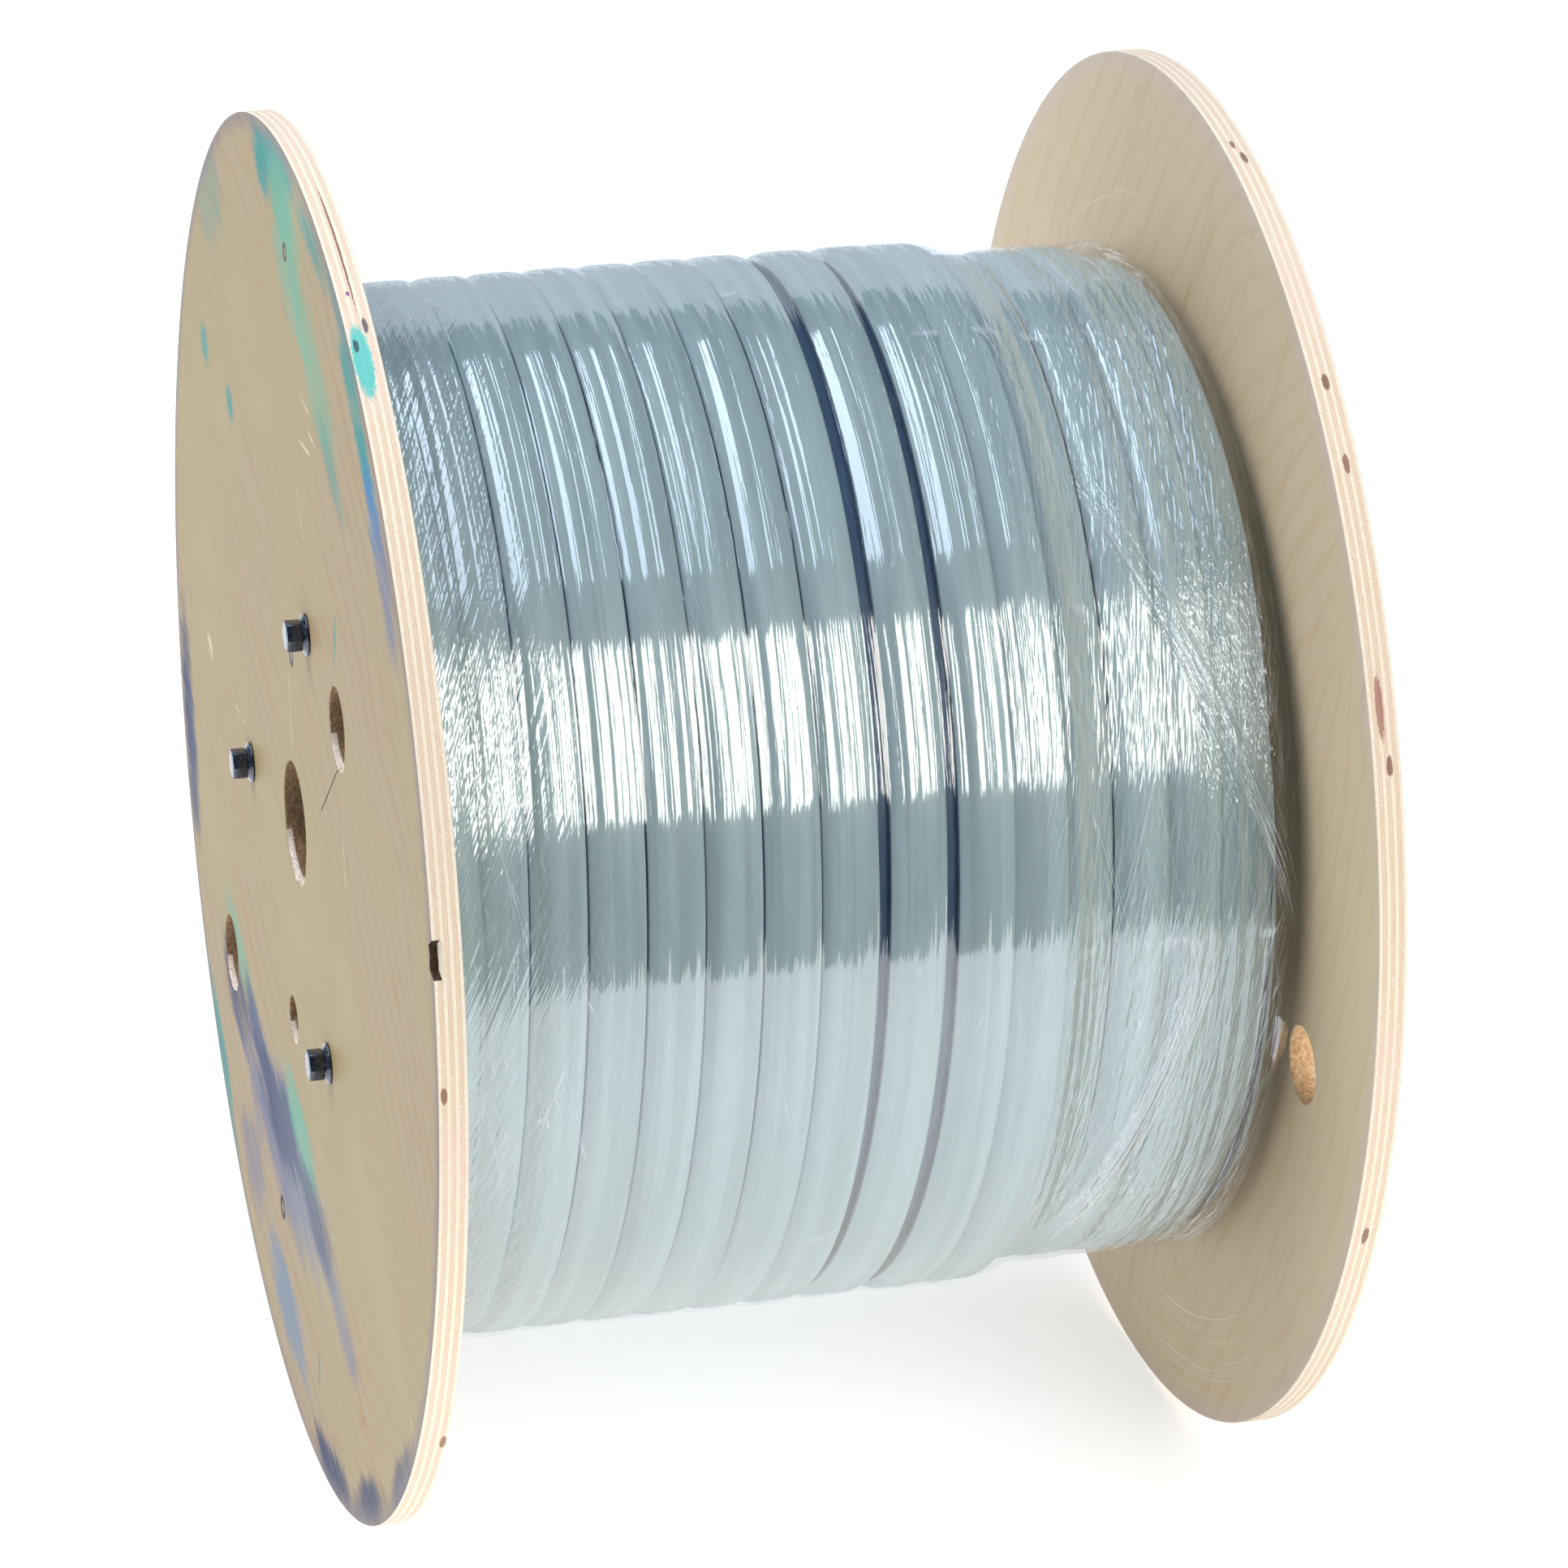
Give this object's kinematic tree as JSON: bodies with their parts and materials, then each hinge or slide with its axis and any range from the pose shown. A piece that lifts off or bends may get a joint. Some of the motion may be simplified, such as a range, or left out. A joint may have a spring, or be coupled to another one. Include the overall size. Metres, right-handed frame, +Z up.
{
  "type": "cable drum",
  "caption": "Plywood cable drum with round flanges, a fibre barrel and tie bolts, wound full with grey flat cable under clear film.",
  "frame": {"origin": "on the floor under the middle of the drum's length, midway between the bolt heads and the bolt tails", "axes": "+X along the drum's axis from the flange with the bolt heads to the flange with the nuts; +Y level, across the drum; +Z up"},
  "size_m": [0.342, 0.4999, 0.5],
  "materials": {
    "plywood": "satin",
    "fibre_tube": "matte",
    "black_steel": "satin",
    "cable_jacket": "satin",
    "clear_film": "gloss"
  },
  "bodies": {
    "root": {"flange_left": "plywood", "flange_right": "plywood", "barrel": "fibre_tube", "tie_bolt_1": "black_steel", "tie_bolt_2": "black_steel", "tie_bolt_3": "black_steel", "nut_1": "black_steel", "nut_2": "black_steel", "nut_3": "black_steel", "cable_winding": "cable_jacket", "stretch_film": "clear_film"}
  },
  "joints": []
}
